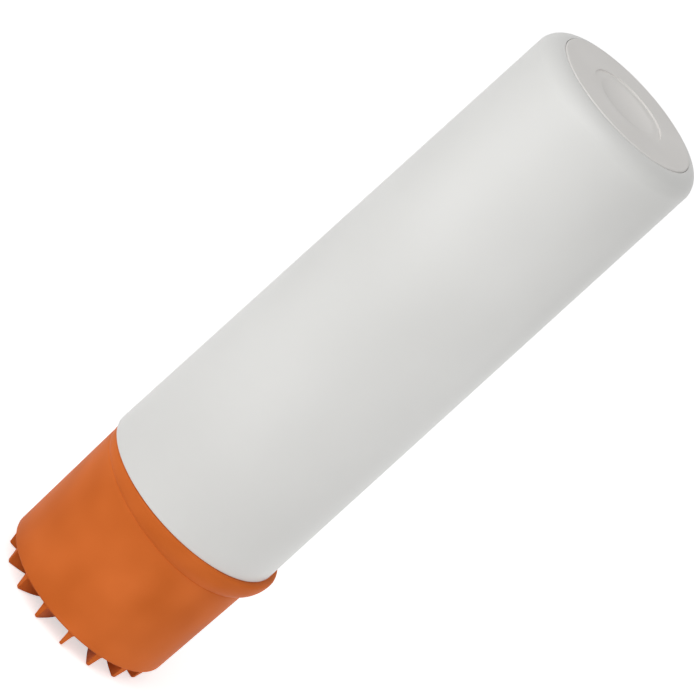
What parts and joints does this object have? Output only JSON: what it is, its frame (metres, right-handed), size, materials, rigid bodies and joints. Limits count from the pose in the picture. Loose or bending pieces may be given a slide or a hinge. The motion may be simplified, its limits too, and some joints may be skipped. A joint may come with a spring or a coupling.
{
  "type": "water filter cartridge",
  "caption": "Water filter cartridge: white canister with a welded end disc over a carbon filter element, on an orange base cap with an off-centre lip and a ring of skewed blades.",
  "frame": {"origin": "on the canister's axis, at the tip of the outlet spigot, level with the blade tips that the cartridge stands on", "axes": "+Z along the axis from the orange base to the closed white end; +X towards the side where the lip stands out most; the picture looks along +Y and down"},
  "size_m": [0.0571, 0.056, 0.1996],
  "materials": {
    "canister_white": "satin moulded polypropylene, white with a faint warm grey",
    "disc_white": "satin moulded polypropylene, white",
    "cap_orange": "satin moulded polypropylene, orange with soft cloudy patches",
    "closure_white": "satin moulded polypropylene, white",
    "natural_plastic": "undyed moulded polypropylene",
    "seal_rubber": "black moulded rubber",
    "valve_rubber": "red-brown silicone rubber",
    "carbon": "pressed activated carbon, grainy and dull",
    "fleece": "white non-woven fleece",
    "netting": "extruded polyethylene netting",
    "glue": "set hot-melt glue"
  },
  "bodies": {
    "root": {"canister": "canister_white", "end_disc": "disc_white", "end_disc_seal": "seal_rubber", "base_cap": "cap_orange", "base_closure": "closure_white", "neck_seal": "seal_rubber", "inlet_seal": "seal_rubber", "outlet_seal": "seal_rubber", "inlet_valve": "valve_rubber", "valve_retainer": "natural_plastic", "lower_end_cap": "natural_plastic", "lower_spigot_seal": "seal_rubber", "upper_spigot_seal": "seal_rubber", "lower_glue_bed": "glue", "carbon_block": "carbon", "sediment_wrap": "fleece", "wrap_netting": "netting", "core_tube": "natural_plastic", "core_sleeve": "fleece", "upper_glue_bed": "glue", "upper_end_cap": "natural_plastic"}
  },
  "joints": []
}
